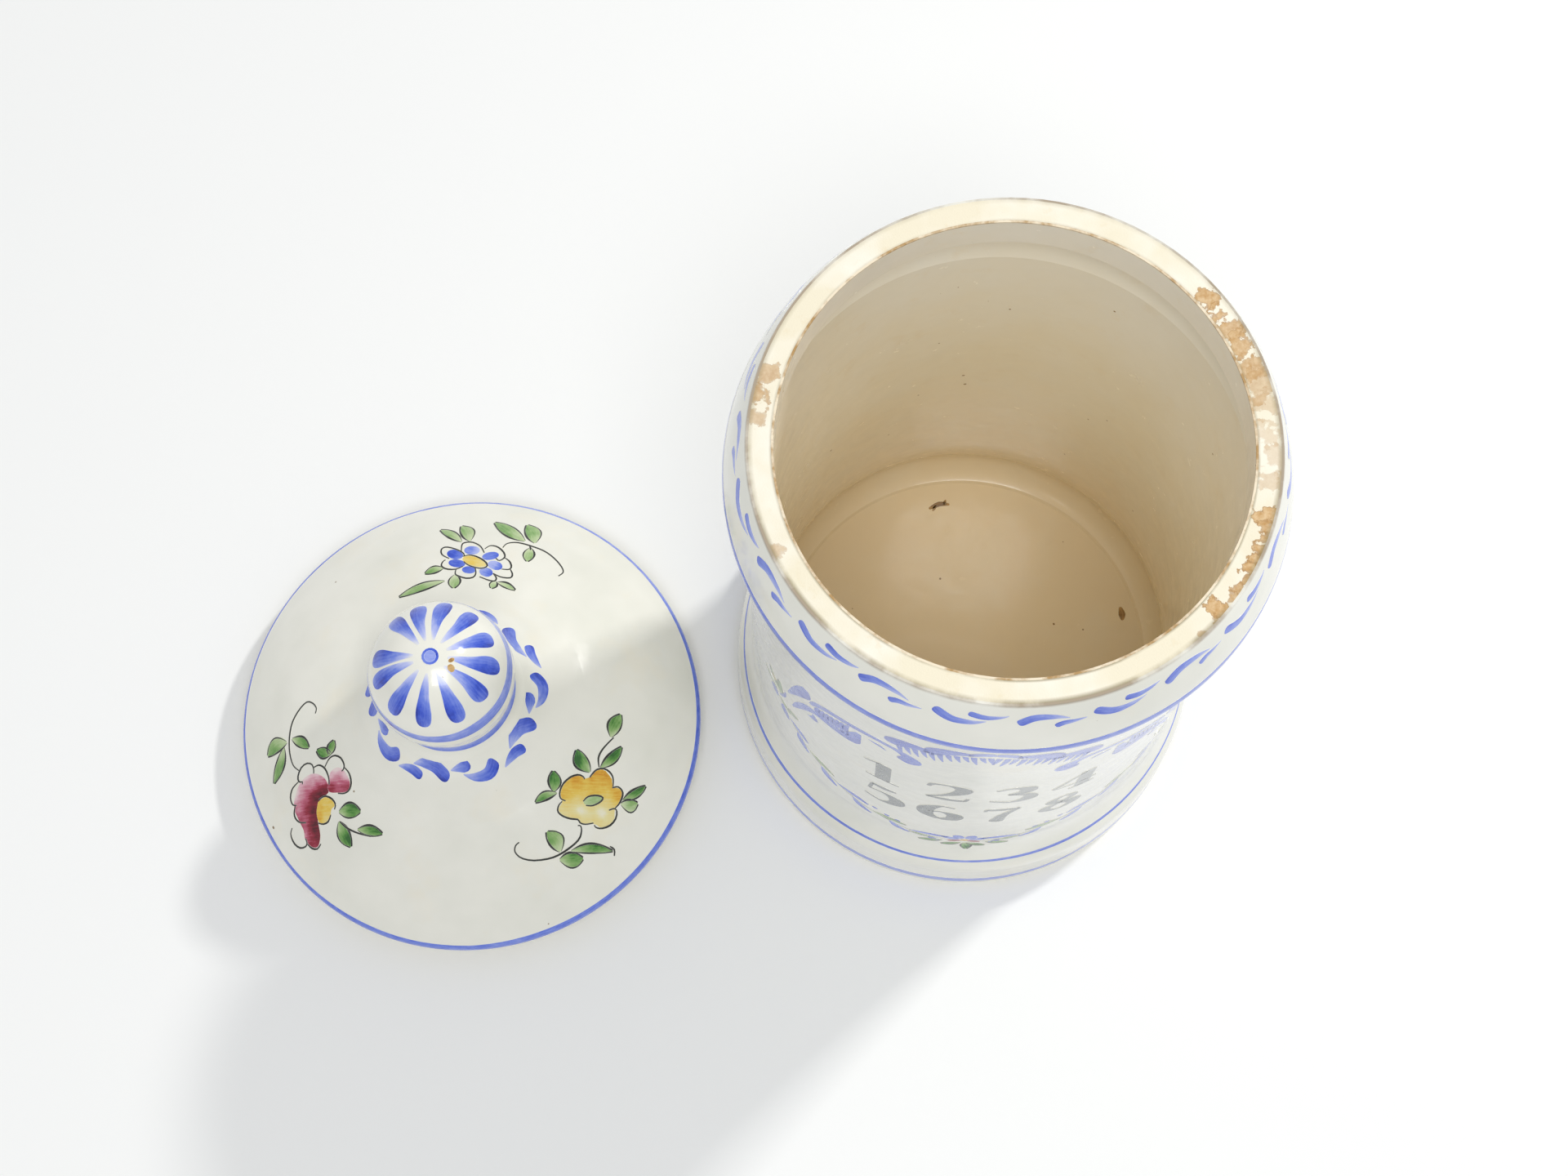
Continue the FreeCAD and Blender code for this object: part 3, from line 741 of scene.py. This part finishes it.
for start, end, width, bend, tone in (
    ((-0.2, 37.8), (-5.5, 41.8), 2.0, -0.3, 0.45),
    ((1.6, 37.9), (-0.8, 42.6), 3.0, -0.5, 0.45),
    ((13.6, 37.8), (6.5, 43.4), 2.9, 0.0, 0.55),
    ((15.8, 37.3), (13.7, 42.8), 3.4, -0.5, 0.55),
    ((14.9, 35.9), (14.4, 32.0), 2.4, 0.0, 0.42),
    ((-3.7, 30.7), (-7.8, 29.6), 1.9, -0.3, 0.5),
    ((-3.2, 27.3), (-13.2, 24.1), 2.0, -0.4, 0.48),
    ((-1.0, 28.8), (-1.1, 25.2), 2.6, 0.0, 0.42),
    ((7.9, 26.8), (7.0, 24.9), 1.7, 0.0, 0.35),
    ((8.2, 26.5), (12.2, 24.4), 1.3, 0.2, 0.35),
):
    leaf(green, black, on_lid, start, end, width, bend, tone)

# the red flower, on the left
wash(
    red,
    on_lid,
    (-33.4, -20.4),
    [(-28.8, -16.2), (-29.6, -14.6), (-32.0, -13.3), (-34.6, -14.0), (-36.6, -16.4), (-37.4, -19.6), (-36.4, -22.4),
     (-35.4, -24.6), (-35.2, -26.4), (-33.8, -28.1), (-32.2, -28.3), (-31.4, -26.2), (-31.7, -23.4),
     (-31.7, -20.6), (-30.6, -18.8), (-28.8, -17.8)],
    [(-30, -17.4, 1.0), (-31.8, -18.8, 1.0), (-32.6, -21.4, 1.0), (-32.4, -24.4, 1.05), (-32, -26.6, 0.95),
     (-34.2, -20.2, 0.62), (-35, -22, 0.5), (-33.9, -25.4, 0.6), (-33.2, -27.6, 0.6), (-36.4, -20.4, 0.36),
     (-35.4, -17.6, 0.33), (-33, -15.4, 0.32), (-30.2, -15.2, 0.4), (-35, -25.2, 0.35), (-37, -17, 0.06),
     (-34.2, -13.6, 0.08), (-31.2, -13.4, 0.16)],
)
wash(
    red,
    on_lid,
    (-26.4, -16.2),
    [(-28.7, -15.0), (-27.9, -13.4), (-26.2, -12.9), (-24.6, -14.2), (-23.7, -16.4), (-24.4, -18.0), (-26.4, -18.1),
     (-28.8, -17.5)],
    [(-28, -17, 0.6), (-25.2, -16.8, 0.5), (-26.6, -15, 0.36), (-27, -13.2, 0.08), (-24.6, -17.8, 0.62),
     (-28.2, -14, 0.2), (-24.4, -14.6, 0.15)],
)
wash(
    yellow,
    on_lid,
    (-30.0, -21.2),
    [(-31.4, -19.4), (-29.7, -18.6), (-28.0, -19.3), (-27.5, -20.6), (-28.3, -21.3), (-28.7, -22.6), (-30.0, -23.9),
     (-31.4, -23.6), (-31.9, -21.6)],
    [(-31.2, -20.4, 0.72), (-31.3, -22.6, 0.75), (-29.6, -19.4, 0.5), (-28.4, -20.2, 0.5), (-29.8, -22.8, 0.4)],
    1,
)
outlines(
    black,
    on_lid,
    (
        [(-35.0, -15.2), (-34.9, -14.7), (-35.6, -14.6), (-36.0, -14.0), (-35.8, -12.8), (-34.9, -11.5),
         (-33.6, -11.0), (-32.5, -11.4), (-32.1, -12.4), (-32.1, -13.4)],
        [(-32.2, -12.2), (-30.8, -11.8), (-29.4, -12.7), (-28.6, -14.6), (-28.5, -16.2)],
        [(-29.4, -12.4), (-28.3, -10.8), (-27.0, -10.3), (-25.6, -11.0), (-24.9, -12.4), (-25.0, -13.3),
         (-25.5, -13.8)],
        [(-24.9, -13.0), (-23.8, -14.4), (-23.4, -16.3), (-23.9, -17.8), (-25.1, -18.4), (-26.6, -18.2)],
        [(-35.9, -14.5), (-37.5, -15.7), (-38.1, -17.4), (-37.7, -18.9), (-36.7, -19.3)],
        [(-37.0, -19.3), (-37.4, -20.6), (-37.2, -21.8), (-36.2, -22.8), (-34.6, -23.1)],
        [(-38.2, -23.6), (-38.7, -24.9), (-38.0, -26.8), (-36.6, -27.9), (-35.2, -27.8), (-34.8, -27.1),
         (-35.1, -26.2)],
        [(-34.7, -27.4), (-33.7, -28.4), (-32.4, -28.7), (-31.4, -27.8)],
        [(-31.2, -18.9), (-29.6, -18.4), (-28.0, -19.2), (-27.3, -20.4), (-27.6, -21.4)],
        [(-28.5, -22.3), (-29.2, -23.6), (-30.4, -24.0), (-31.7, -23.6)],
        [(-35.7, -12.2), (-37.1, -10.8), (-37.9, -8.0), (-37.9, -4.6), (-37.2, -1.6), (-35.6, 0.8), (-33.7, 2.3),
         (-32.2, 1.8), (-31.3, 0.6), (-31.5, -0.6)],
        [(-26.6, -23.9), (-25.0, -25.4), (-22.6, -26.7), (-19.6, -27.7)],
    ),
)
for start, end, width, bend, tone in (
    ((-38.6, -5.6), (-43.7, -7.6), 3.3, -0.9, 0.55),
    ((-39.3, -6.6), (-42.2, -13.8), 2.3, 0.3, 0.6),
    ((-37.3, -5.1), (-33.1, -7.8), 2.2, 0.3, 0.62),
    ((-27.8, -9.9), (-31.3, -8.6), 2.3, 0.2, 0.85),
    ((-28.3, -10.1), (-27.1, -7.0), 1.9, 0.1, 0.7),
    ((-26.6, -22.0), (-21.6, -22.5), 3.1, 0.3, 0.85),
    ((-26.7, -23.9), (-24.4, -29.3), 2.8, -0.3, 0.85),
    ((-22.6, -26.0), (-17.0, -27.4), 2.1, 0.2, 0.8),
):
    leaf(green, black, on_lid, start, end, width, bend, tone)

# the yellow flower, in front on the right
wash(
    yellow,
    on_lid,
    (27.4, -21.2),
    [(31.9, -17.4), (30.3, -15.5), (28.2, -16.1), (26.8, -17.5), (24.8, -16.9), (22.4, -18.2), (21.1, -20.6),
     (21.4, -22.4), (20.5, -24.0), (21.8, -25.5), (24.4, -25.9), (25.2, -26.7), (27.7, -26.7), (29.4, -27.4),
     (31.8, -25.9), (32.2, -23.4), (33.6, -21.6), (33.7, -19.4), (32.1, -19.0)],
    [(30, -16.6, 1.0), (28.2, -17.4, 0.85), (31.6, -18.2, 0.85), (33, -20.4, 0.75), (24.6, -18.2, 0.86),
     (22.2, -20.6, 0.7), (27, -19.4, 0.6), (29.6, -20, 0.62), (25, -22, 0.45), (30.6, -22.4, 0.4),
     (25, -24, 0.06), (29.6, -24.4, 0.05), (22, -24.6, 0.3), (24, -25.4, 0.34), (31.4, -25, 0.3),
     (28.6, -26.8, 0.34)],
)
oval(green, on_lid, (25.8, -22.5), (29.7, -21.2), 1.8, [0.35, 0.4, 0.5], 1)
outlines(
    black,
    on_lid,
    (
        [(26.2, -17.7), (26.0, -17.2), (25.0, -16.8), (23.4, -17.3), (21.8, -18.7), (21.0, -20.4), (21.1, -21.7),
         (22.1, -22.2)],
        [(21.4, -22.3), (20.6, -23.2), (20.4, -24.4), (21.4, -25.3), (23.0, -25.8), (24.4, -25.9), (24.9, -26.6),
         (26.0, -26.8), (27.6, -26.5)],
        [(27.7, -26.9), (28.1, -27.4), (29.3, -27.5), (31.0, -26.8), (32.2, -25.4), (32.5, -23.9), (32.0, -23.4),
         (30.9, -23.8)],
        [(32.2, -23.3), (33.2, -22.2), (33.9, -20.6), (33.8, -19.6), (33.0, -18.9), (31.8, -19.2)],
        [(32.0, -19.0), (32.1, -17.2), (31.5, -16.0), (30.3, -15.3), (28.8, -15.6), (27.8, -16.6), (27.3, -17.3)],
        [(25.7, -22.2), (26.8, -21.2), (28.6, -20.9), (29.8, -21.3), (29.2, -22.2), (27.6, -23.0), (26.2, -23.0)],
        [(24.3, -27.1), (24.9, -27.2), (25.0, -28.2), (24.4, -29.8), (22.6, -31.4), (20.0, -33.0), (17.6, -33.8),
         (14.6, -34.1), (12.2, -33.6), (11.0, -32.4), (11.2, -31.2), (12.0, -30.5)],
        [(29.3, -15.1), (29.3, -13.0), (30.4, -11.0), (32.6, -8.6)],
        [(30.6, -31.0), (31.5, -31.6), (31.4, -32.9)],
    ),
)
for start, end, width, bend, tone in (
    ((27.4, -16.2), (24.8, -11.6), 3.0, 0.5, 0.9),
    ((29.6, -15.2), (34.2, -10.5), 2.0, -0.3, 0.85),
    ((32.0, -8.6), (34.2, -3.5), 2.7, 0.3, 0.7),
    ((19.8, -20.4), (19.9, -16.1), 2.6, -0.2, 0.9),
    ((20.4, -20.6), (15.8, -22.6), 1.7, -0.4, 0.7),
    ((33.9, -21.6), (38.8, -18.3), 1.7, -0.2, 0.8),
    ((33.4, -22.4), (37.0, -22.0), 2.6, -0.5, 0.45),
    ((20.4, -32.4), (17.9, -28.4), 3.3, -0.6, 0.5),
    ((20.1, -34.0), (25.0, -33.6), 3.0, -0.2, 0.7),
    ((22.6, -32.2), (31.2, -31.9), 1.9, 0.5, 0.75),
):
    leaf(green, black, on_lid, start, end, width, bend, tone)

for painting, name, material, slot in (
    (blue, "lid_flowers_blue", cobalt_blue, "blue_paint"),
    (red, "lid_flowers_red", manganese_red, "red_paint"),
    (yellow, "lid_flowers_yellow", antimony_yellow, "yellow_paint"),
    (green, "lid_leaves", copper_green, "green_paint"),
    (black, "lid_outlines", manganese_black, "dark_line_paint"),
):
    finish_painting(painting, name, material, "lid")

# ---- The panel on the jar's front ----
# A scrolled frame in cobalt with a fringed crest, leafy swags down both sides and a small flower below. The left half
# is drawn, and the right half is the same with the pattern turned over.
blue, green, black, yellow, red = (start_painting() for _ in range(5))
for meet in (round_jar, mirrored(round_jar)):
    # the crest: three rolled lobes and the fringe that hangs from them
    for width, depth, spine in (
        ([3.0, 4.8, 4.6, 2.0], [0.65, 0.78, 0.68, 0.6],
         [(-17.8, 112.4), (-16.8, 116.2), (-13.8, 117.6), (-10.6, 116.8)]),
        ([2.0, 4.8, 4.0, 2.0], [0.65, 0.74, 0.64, 0.5],
         [(-11.4, 115.6), (-9.4, 120.6), (-6.4, 122.4), (-3.2, 122.6)]),
        ([1.4, 2.8, 3.0], [0.55, 0.55, 0.5], [(-5.0, 121.4), (-2.4, 124.0), (0.0, 124.6)]),
    ):
        stroke(blue, meet, spine, width, depth, 0.2)
    for index in range(12):
        across = -16.6 + index * 1.44
        top = 113.4 + 7.8 * math.sin((across + 18.5) / 18.5 * math.pi / 2) ** 1.4
        drop = 5.0 + 3.2 * random.random()
        hair = [(across, top), (across + 0.3, top - drop * 0.5), (across + 0.9, top - drop)]
        stroke(blue, meet, hair, [1.2, 0.95, 0.3], [0.68, 0.6, 0.5])
    # the scroll: a fat curl, its arch, and the shaded wing under it
    stroke(
        blue,
        meet,
        [(-16.0, 100.0), (-14.4, 101.6), (-14.4, 104.6), (-17.2, 107.8), (-21.8, 109.0), (-27.0, 107.2),
         (-31.4, 104.0), (-34.4, 99.6), (-36.0, 95.0)],
        [3.4, 4.8, 3.4, 2.4, 2.8, 3.0, 2.4, 1.8, 0.8],
        [0.8, 0.72, 0.6, 0.6, 0.7, 0.65, 0.6, 0.5],
        0.15,
    )
    stroke(
        blue,
        meet,
        [(-24.4, 104.6), (-25.4, 99.4), (-26.6, 94.6), (-30.6, 92.8), (-35.0, 91.0), (-37.6, 86.6), (-40.2, 79.0),
         (-41.8, 73.0)],
        [1.0, 3.0, 4.4, 3.6, 2.6, 2.2, 1.6, 0.5],
        [0.5, 0.65, 0.75, 0.65, 0.6, 0.55, 0.5, 0.4],
        0.2,
    )
    for index in range(7):
        across = -26.6 - index * 1.15
        rib = [(across, 105.6 - index * 1.1), (across - 0.8, 100.6 - index), (across - 0.2, 95.6 - index * 0.6)]
        stroke(blue, meet, rib, [0.5, 1.5, 0.7], [0.6, 0.75, 0.6])
    for spine, width in (
        ([(-36.8, 104.4), (-37.6, 99.0), (-40.2, 91.0), (-43.2, 80.0)], [1.6, 3.6, 2.4, 0.5]),
        ([(-35.4, 88.0), (-35.0, 84.6), (-37.0, 82.0)], [0.4, 1.8, 0.4]),
        ([(-44.2, 76.0), (-44.8, 71.0), (-46.6, 66.0)], [0.3, 1.0, 0.4]),
        ([(-22.4, 104.8), (-20.4, 104.2), (-18.8, 102.6)], [0.4, 1.4, 0.4]),
    ):
        stroke(blue, meet, spine, width, [0.5, 0.7, 0.6, 0.4], 0.2)
    # the swag: a stem with leaves and berries, from the side down to the flower
    swag = [(-48.4, 66.0), (-45.6, 61.6), (-41.0, 56.0), (-34.6, 49.0), (-27.0, 43.0), (-19.0, 38.6), (-11.0, 34.8),
            (-3.4, 32.6)]
    stroke(black, meet, swag, [0.25, 0.4, 0.45, 0.4, 0.35, 0.3], [0.35, 0.5, 0.5, 0.45])
    for index in range(13):
        t = index / 13
        foot, ahead = ([between([p[k] for p in swag], share) for k in (0, 1)] for share in (t, t + 0.11))
        side = 1 if index % 2 else -1
        tip = (ahead[0] + 1.7 * side, ahead[1] + 2.0 * side)
        if index % 4 == 1:
            leaf(green, black, meet, foot, tip, 1.9, 0.3 * side, 0.6)
        else:
            broad = 3.2 - 1.4 * t
            spine = [foot, ((foot[0] + tip[0]) / 2 + 0.5 * side, (foot[1] + tip[1]) / 2 + 0.5 * side), tip]
            stroke(blue, meet, spine, [0.5, broad, broad * 0.4], [0.4, 0.6, 0.72], 0.2 * side)
    for across, level in ((-17.2, 41.6), (-14.8, 40.4), (-20.0, 43.4)):
        oval(blue, meet, (across, level), (across + 0.9, level - 1.0), 1.3, 0.7)
    # the side sprig
    for start, end, width, tone in (
        ((-46.4, 68.0), (-50.4, 76.4), 2.2, 0.6),
        ((-46.0, 68.6), (-46.2, 78.0), 2.0, 0.7),
        ((-47.2, 66.4), (-53.0, 68.2), 2.0, 0.55),
        ((-43.6, 62.8), (-40.0, 66.6), 1.7, 0.6),
    ):
        leaf(green, black, meet, start, end, width, 0.3, tone)
    oval(yellow, meet, (-49.6, 71.4), (-48.2, 73.4), 2.0, 0.6, 1)
    # half of the flower at the foot of the panel
    oval(blue, meet, (-0.8, 34.2), (-1.8, 38.0), 2.4, [0.3, 0.5, 0.7])
    oval(blue, meet, (-1.2, 33.6), (-4.8, 35.6), 2.2, [0.3, 0.45, 0.6])
    oval(red, meet, (-0.4, 33.2), (-3.4, 31.4), 1.9, [0.4, 0.6, 0.5])
    leaf(green, black, meet, (-0.6, 30.6), (-4.6, 28.2), 1.7, 0.2, 0.75)
    leaf(green, black, meet, (-4.4, 31.6), (-9.4, 29.0), 1.8, 0.2, 0.6)
    leaf(green, black, meet, (-6.0, 33.0), (-11.6, 33.8), 1.6, 0.3, 0.5)
oval(yellow, round_jar, (-0.9, 33.4), (0.9, 33.4), 2.0, 0.75, 2)
leaf(green, black, round_jar, (0.2, 30.4), (0.8, 25.6), 2.2, 0.2, 0.85)
for painting, name, material, slot in (
    (blue, "panel_scrolls", cobalt_blue, "blue_paint"),
    (green, "panel_leaves", copper_green, "green_paint"),
    (black, "panel_outlines", manganese_black, "dark_line_paint"),
    (yellow, "panel_flower_yellow", antimony_yellow, "yellow_paint"),
    (red, "panel_flower_red", manganese_red, "red_paint"),
):
    finish_painting(painting, name, material, "jar")

# ---- The numerals ----
# Where such a jar is lettered, this one has plain numerals in two lines, in a thin grey paint. A broad flat brush
# makes the thick stems, and its edge the hairlines and serifs.
slate_grey = paint("slate_grey_paint", (0.3, "#b9bcb9"), (0.7, "#8f9392"), (1, "#757a79"))
STEM, HAIRLINE = 3.3, 0.9
THICK, THIN = [STEM] * 3, [HAIRLINE] * 3
NUMERALS = {  # each pass of the brush: its points, in shares of the numeral's height, and its widths
    "1": (([(0.3, 0.0), (0.3, 1.0)], THICK), ([(0.02, 0.82), (0.14, 0.9), (0.28, 1.0)], THIN),
          ([(0.06, 0.02), (0.54, 0.02)], THIN)),
    "2": (([(0.06, 0.74), (0.12, 0.94), (0.32, 1.0), (0.5, 0.86), (0.48, 0.62), (0.3, 0.34), (0.06, 0.05)],
           [HAIRLINE, 1.2, 1.4, STEM, STEM, 1.4, HAIRLINE]),
          ([(0.06, 0.06), (0.34, 0.06), (0.56, 0.08)], [1.2, 2.2, 1.6]), ([(0.56, 0.06), (0.6, 0.26)], THIN)),
    "3": (([(0.08, 0.84), (0.26, 0.98), (0.46, 0.9), (0.46, 0.68), (0.24, 0.55)],
           [HAIRLINE, 1.3, STEM, STEM, HAIRLINE]),
          ([(0.24, 0.55), (0.5, 0.44), (0.54, 0.18), (0.32, 0.02), (0.04, 0.14)], [HAIRLINE, 2.2, STEM, 1.4, 1.0])),
    "4": (([(0.4, 0.98), (0.2, 0.64), (0.0, 0.32)], THIN), ([(0.0, 0.31), (0.6, 0.31)], THIN),
          ([(0.42, 0.0), (0.42, 1.0)], THICK), ([(0.24, 0.02), (0.6, 0.02)], THIN)),
    "5": (([(0.14, 0.96), (0.1, 0.54)], THIN), ([(0.12, 0.95), (0.34, 0.94), (0.52, 0.98)], [1.6, 2.2, 1.0]),
          ([(0.1, 0.54), (0.3, 0.62), (0.52, 0.48), (0.54, 0.2), (0.32, 0.02), (0.04, 0.12)],
           [HAIRLINE, 1.2, STEM, STEM, 1.2, 1.0])),
    "6": (([(0.5, 0.92), (0.3, 0.96), (0.1, 0.64), (0.1, 0.26), (0.3, 0.02)], [1.0, 1.2, STEM, STEM, 1.2]),
          ([(0.3, 0.02), (0.5, 0.14), (0.52, 0.38), (0.32, 0.54), (0.12, 0.42)], [1.2, STEM, STEM, 1.2, HAIRLINE])),
    "7": (([(0.04, 0.8), (0.06, 0.95)], THIN), ([(0.05, 0.94), (0.3, 0.92), (0.54, 0.96)], [1.8, 2.0, 1.4]),
          ([(0.54, 0.94), (0.34, 0.52), (0.24, 0.0)], [HAIRLINE, 2.0, STEM])),
    "8": (([(0.3, 0.55), (0.12, 0.74), (0.3, 0.98), (0.48, 0.76), (0.3, 0.55)], [1.8, 2.4, 1.0, 2.0, 1.8]),
          ([(0.3, 0.55), (0.06, 0.28), (0.3, 0.02), (0.54, 0.26), (0.3, 0.55)], [1.8, 2.6, 1.0, STEM, 1.8])),
}
bm = start_painting()
for digits, level, height, pitch in (("1234", 72.5, 15.0, 12.6), ("5678", 52.5, 13.5, 12.2)):
    first = -pitch * len(digits) / 2
    for place_in_line, digit in enumerate(digits):
        left = first + place_in_line * pitch + pitch * 0.14
        for points, widths in NUMERALS[digit]:
            spots = [(left + x * height, level + y * height) for x, y in points]
            stroke(bm, round_jar, spots, widths, [0.85, 0.95, 0.9], layer=1)
finish_painting(bm, "label_numerals", slate_grey, "jar")

# ---- Flaws of use and firing ----
# A chip on the knob, where the glaze has flaked off to the stained clay, and a run of brown beside it. On the jar's
# floor there are bits of kiln dirt, stuck fast where they fell in the melting glaze.
iron_stain = paint("iron_stain", (0.3, "#e3cfa4"), (0.7, "#c39a5c"), (1, "#8c6a3e"))
bm = start_painting()
oval(bm, on_lid, (3.4, -2.7), (4.7, -2.2), 1.6, [0.6, 0.7, 0.6], 2)
oval(bm, on_lid, (3.6, -1.2), (4.7, -0.5), 0.9, [0.7, 0.9, 0.5], 2)
finish_painting(bm, "knob_chip", iron_stain, "lid")

jar_inside = surface_of("jar_inner_glaze")


def on_floor(x, y):
    """A place on the jar's floor, met from above."""
    return jar_inside.ray_cast(Vector((x * MM, y * MM, RIM_TOP + MM)), Vector((0, 0, -1)))[:2]


bm = start_painting()
FLOOR_MARKS = (
    ([(-5.2, 34.6), (-2.8, 35.6), (-0.4, 35.4)], [0.5, 1.2, 0.5]),
    ([(-3.4, 35.4), (-4.4, 34.0)], [0.4, 0.8, 0.3]),
    ([(-1.8, 35.4), (-1.2, 36.6)], [0.4, 0.8, 0.2]),
    ([(36.4, 9.4), (36.7, 7.6), (36.6, 6.2)], [0.6, 1.6, 0.5]),
    ([(21.0, 6.0), (21.4, 6.2)], [0.5, 0.6, 0.4]),
    ([(17.4, -8.6), (17.8, -8.4)], [0.5, 0.7, 0.4]),
)
for points, widths in FLOOR_MARKS:
    stroke(bm, on_floor, points, widths, [0.8, 1.0, 0.7])
finish_painting(bm, "floor_marks", iron_stain, "jar")
